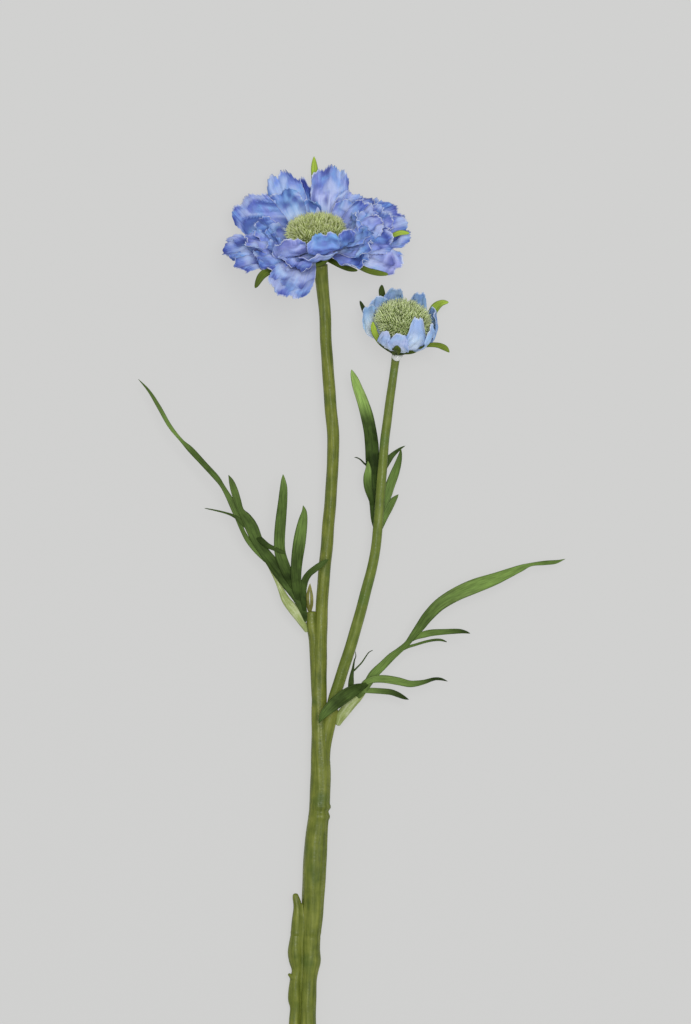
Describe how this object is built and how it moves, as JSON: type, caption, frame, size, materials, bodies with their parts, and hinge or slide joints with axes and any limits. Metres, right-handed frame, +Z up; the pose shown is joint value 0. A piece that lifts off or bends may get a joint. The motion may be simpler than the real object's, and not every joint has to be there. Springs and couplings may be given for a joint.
{
  "type": "scabiosa flower",
  "caption": "Cut scabiosa spray lying flat: a ruffled blue bloom and a half-open bud on a forked green stem with narrow lobed leaves.",
  "frame": {"origin": "under the middle of the spray's own box, on the surface that it lies on", "axes": "+Y along the stem from the cut end to the open bloom, +X to the side that the half-open bloom is on, +Z up from the surface"},
  "size_m": [0.163, 0.3705, 0.0472],
  "materials": {
    "stem": "satin moulded plastic, ridged lengthways",
    "leaf_stalk": "satin, pale",
    "leaf": "pressed cloth leaf, dark at the root and light at the tips",
    "axil_shoot": "satin",
    "bloom_petal": "printed and crimped petal cloth",
    "bud_petal": "printed petal cloth, paler",
    "bloom_cushion": "fine moulded tufts",
    "bud_cushion": "fine moulded tufts",
    "bract": "matt",
    "clear_glue": "clear, set"
  },
  "bodies": {
    "root": {"main_stem": "stem", "side_stem": "stem", "left_leaf_stalk": "leaf_stalk", "right_leaf_stalk": "leaf_stalk", "left_leaf": "leaf", "right_leaf": "leaf", "upper_leaf": "leaf", "axil_bud": "axil_shoot", "bloom_petals": "bloom_petal", "bloom_cushion": "bloom_cushion", "bloom_calyx": "bract", "bud_petals": "bud_petal", "bud_cushion": "bud_cushion", "bud_calyx": "bract", "glue_dab": "clear_glue"}
  },
  "joints": []
}
